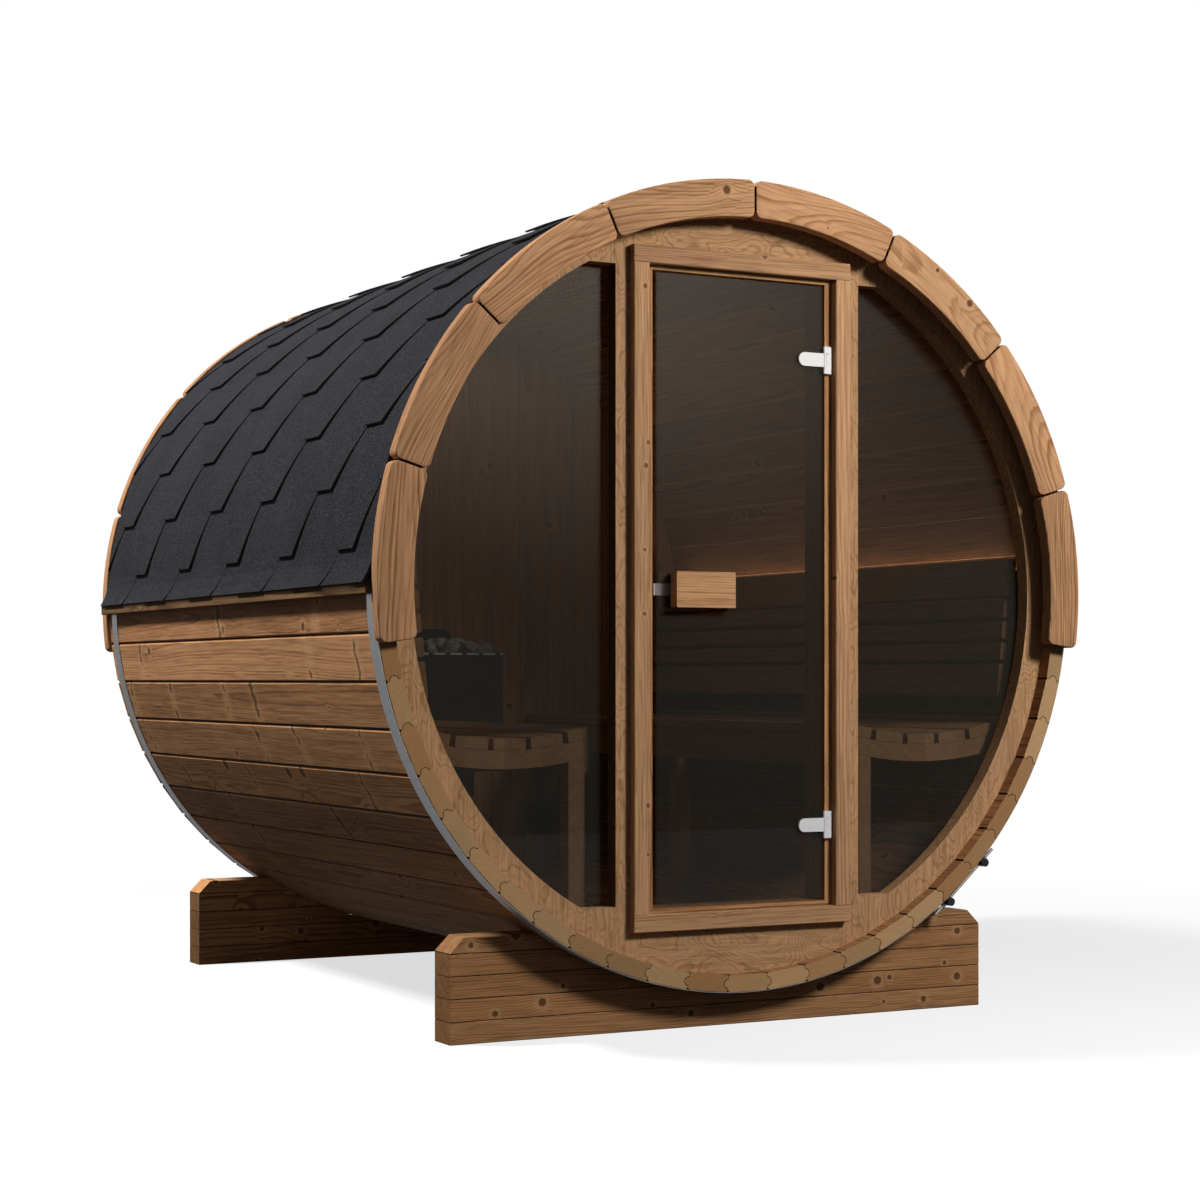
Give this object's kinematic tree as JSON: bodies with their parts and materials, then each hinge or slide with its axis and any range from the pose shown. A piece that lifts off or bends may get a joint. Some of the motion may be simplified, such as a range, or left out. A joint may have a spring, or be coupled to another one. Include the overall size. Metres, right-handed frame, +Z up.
{
  "type": "barrel sauna",
  "caption": "Outdoor barrel sauna of wooden staves on cradles, with a glazed front wall, hinged glass door, shingled roof, benches and a stove.",
  "frame": {"origin": "on the ground, below the middle of the barrel", "axes": "+X to the right seen from the door, +Y along the barrel away from the door, +Z up"},
  "size_m": [2.098, 2.217, 2.1419],
  "materials": {
    "cradle_wood": "sawn heat-treated softwood",
    "stave_wood": "planed heat-treated softwood",
    "hoop_steel": "galvanised",
    "panel_wood": "sealed plywood",
    "smoked_glass": "bronze tinted, polished",
    "frame_wood": "planed heat-treated softwood",
    "lining_wood": "planed heat-treated softwood",
    "vent_plastic": "matte",
    "arch_wood": "planed and eased heat-treated softwood",
    "shingle": "mineral granules on bitumen",
    "eave_wood": "sawn heat-treated softwood",
    "stove_paint": "matte heat-proof paint",
    "stone": "broken stone",
    "satin_metal": "satin"
  },
  "bodies": {
    "sauna": {"cradle_front": "cradle_wood", "cradle_rear": "cradle_wood", "staves_bottom": "stave_wood", "staves_lower_right": "stave_wood", "staves_upper_right": "stave_wood", "staves_top": "stave_wood", "staves_upper_left": "stave_wood", "staves_lower_left": "stave_wood", "hoop_front": "hoop_steel", "hoop_rear": "hoop_steel", "tension_rods": "hoop_steel", "front_wall_left": "panel_wood", "front_wall_right": "panel_wood", "front_wall_top": "panel_wood", "front_wall_bottom": "panel_wood", "window_left": "smoked_glass", "window_right": "smoked_glass", "door_jambs": "frame_wood", "door_head": "frame_wood", "door_threshold": "frame_wood", "door_trim": "frame_wood", "rear_wall": "lining_wood", "bench_left_slats": "lining_wood", "bench_right_slats": "lining_wood", "bench_left_frame": "lining_wood", "bench_right_frame": "lining_wood", "backrest_left": "lining_wood", "backrest_right": "lining_wood", "backrest_battens": "lining_wood", "vent_grilles": "vent_plastic", "front_arch_left": "arch_wood", "front_arch_right": "arch_wood", "rear_arch_left": "arch_wood", "rear_arch_right": "arch_wood", "roof_left": "shingle", "roof_right": "shingle", "eave_laths": "eave_wood", "stove": "stove_paint", "stove_stones": "stone", "hinge_leaves": "satin_metal"},
    "door": {"door_glass": "smoked_glass", "hinge_arms": "satin_metal", "handle_outer": "frame_wood", "handle_inner": "frame_wood", "catch_plate": "satin_metal"}
  },
  "joints": [
    {"name": "door_swing", "type": "hinge", "parent": "sauna", "child": "door", "pos_m": [0.251, -1.0405, 1.108], "axis": [0, 0, 1], "range_deg": [0, 110]}
  ]
}
